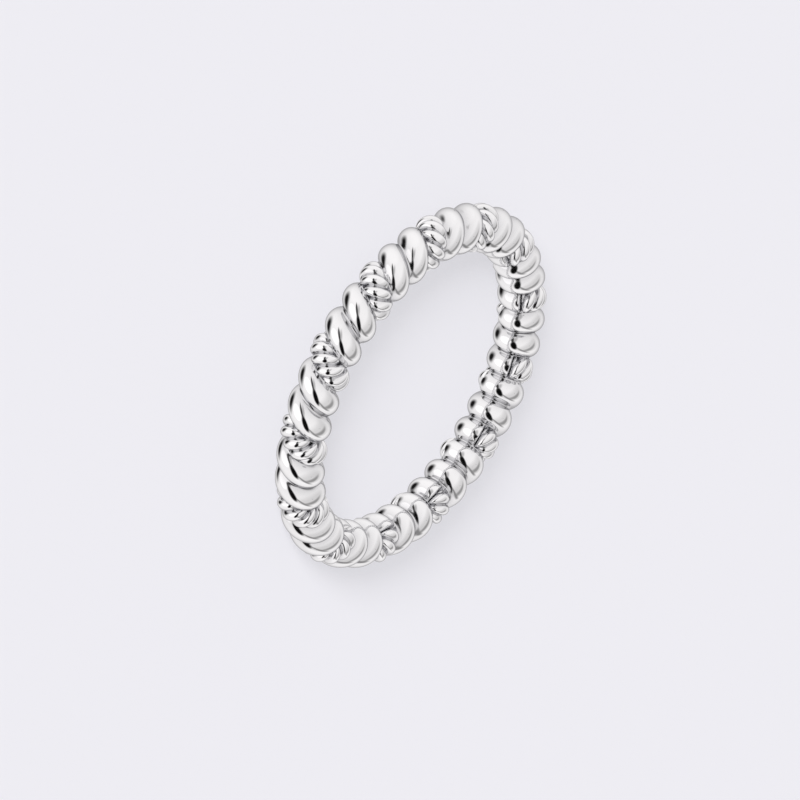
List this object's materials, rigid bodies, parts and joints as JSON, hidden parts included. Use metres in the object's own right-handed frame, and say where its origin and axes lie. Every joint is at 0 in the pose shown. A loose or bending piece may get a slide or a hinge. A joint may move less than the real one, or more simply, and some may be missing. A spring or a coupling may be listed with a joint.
{
  "type": "stacking ring",
  "caption": "Slim silver stacking ring wound with fat leaning ridges, every third one a short cord of two twisted wires laid round the band.",
  "frame": {"origin": "centre of the ring's footprint, on the surface that it lies on", "axes": "+Z along the ring's axis, up from the table; X and Y in the plane of the ring"},
  "size_m": [0.0224, 0.0224, 0.0028],
  "materials": {
    "polished_silver": "sterling silver, cast and polished"
  },
  "bodies": {
    "root": {"band": "polished_silver", "twisted_cord_1": "polished_silver", "twisted_cord_2": "polished_silver", "twisted_cord_3": "polished_silver", "twisted_cord_4": "polished_silver", "twisted_cord_5": "polished_silver", "twisted_cord_6": "polished_silver", "twisted_cord_7": "polished_silver", "twisted_cord_8": "polished_silver", "twisted_cord_9": "polished_silver", "twisted_cord_10": "polished_silver", "twisted_cord_11": "polished_silver", "twisted_cord_12": "polished_silver", "twisted_cord_13": "polished_silver"}
  },
  "joints": []
}
